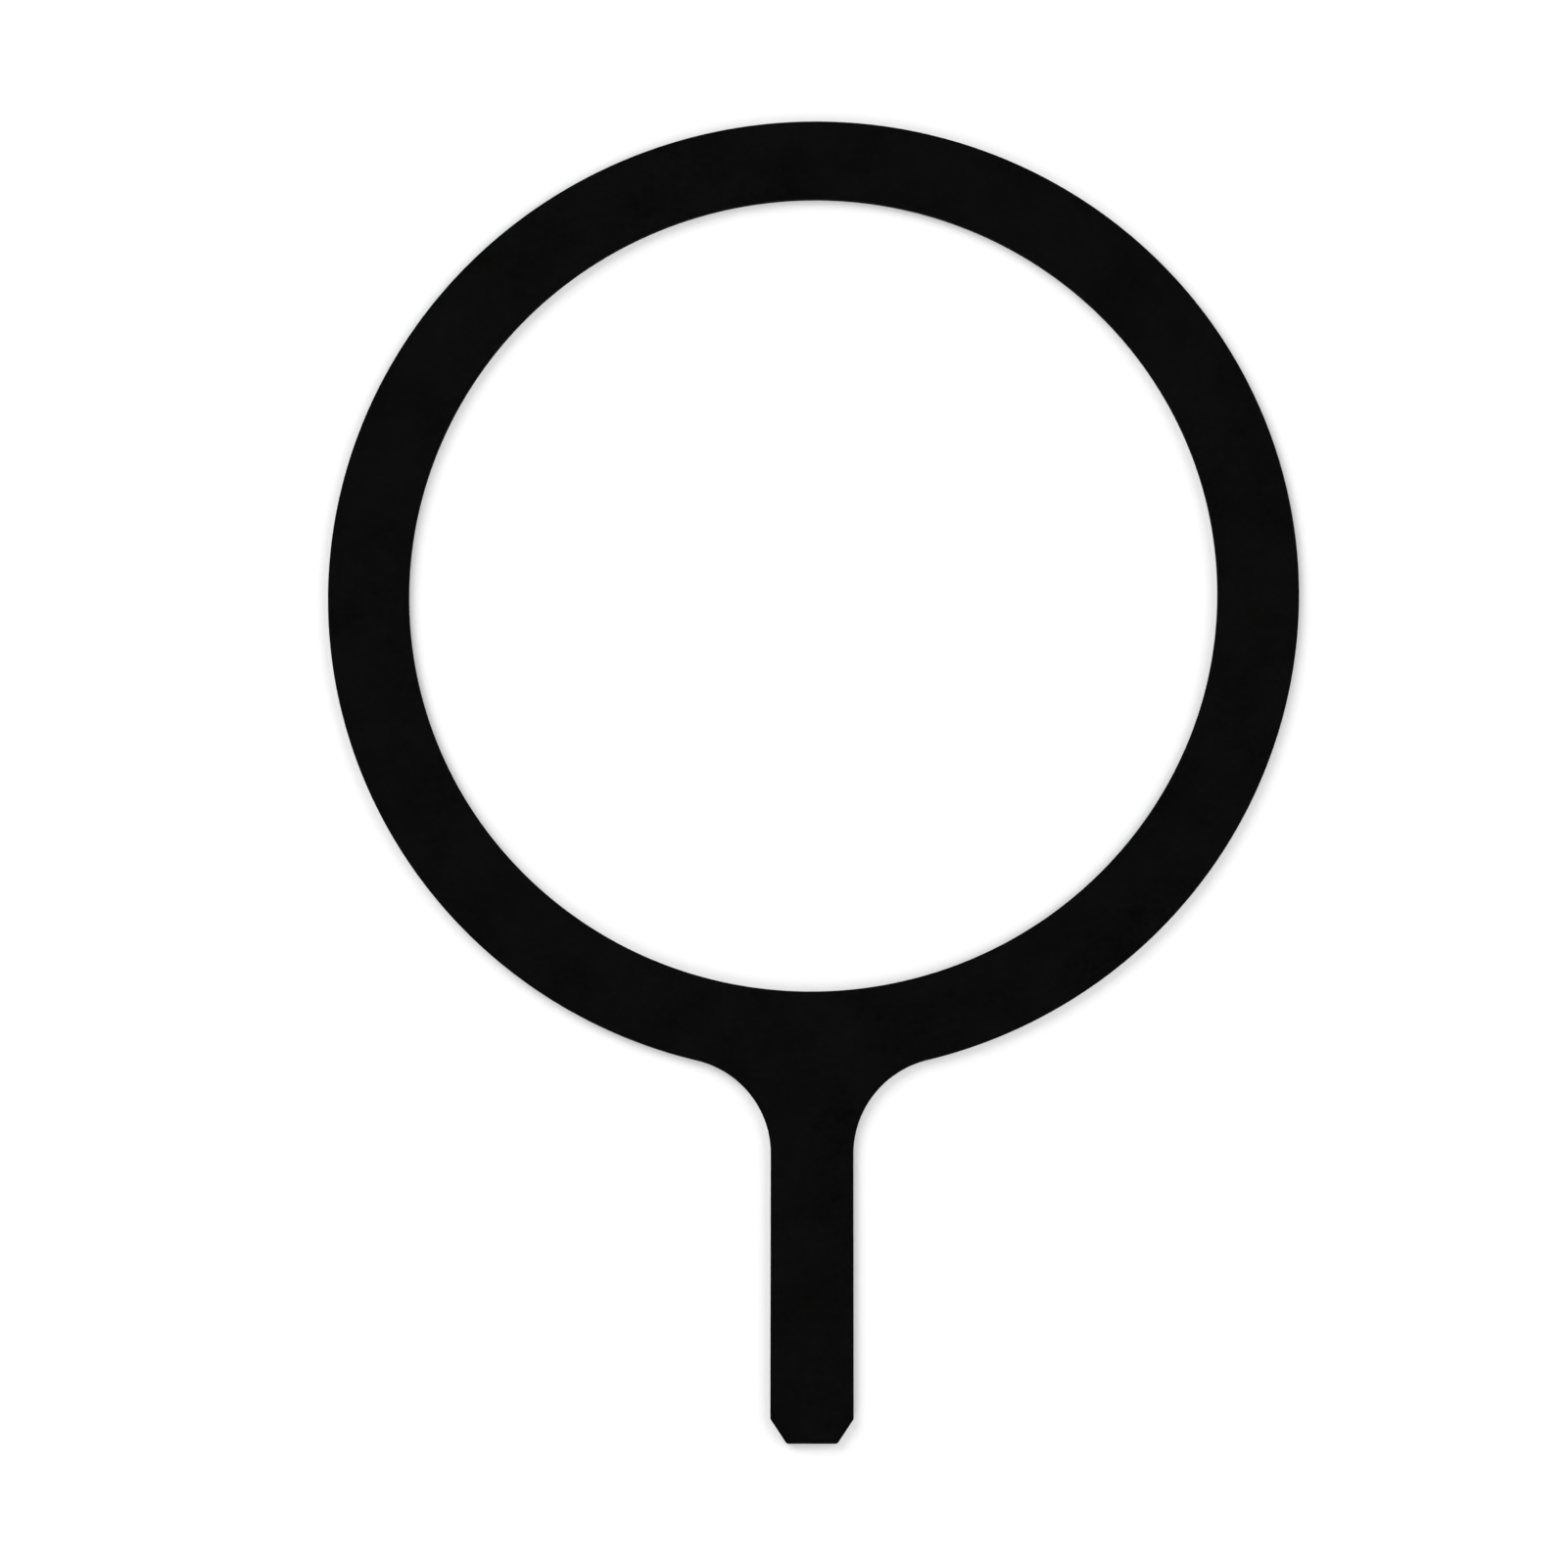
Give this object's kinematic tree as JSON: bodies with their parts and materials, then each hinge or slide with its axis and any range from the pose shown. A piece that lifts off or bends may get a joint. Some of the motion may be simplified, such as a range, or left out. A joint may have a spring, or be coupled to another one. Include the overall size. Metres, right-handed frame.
{
  "type": "magnetic phone mount plate",
  "caption": "Thin flat steel ring with a straight tail, stuck to the back of a phone so that a ring of magnets in a mount or charger can hold it.",
  "frame": {"origin": "on the plane of the back face, under the middle of the plate's whole length and width", "axes": "+Z out of the front face that the magnets hold, +Y along the tail towards the ring, +X to the right as the front is looked at with the ring on top"},
  "size_m": [0.055, 0.0754, 0.0005],
  "materials": {
    "black_coating": "matt black baked paint on steel sheet"
  },
  "bodies": {
    "root": {"mount_plate": "black_coating"}
  },
  "joints": []
}
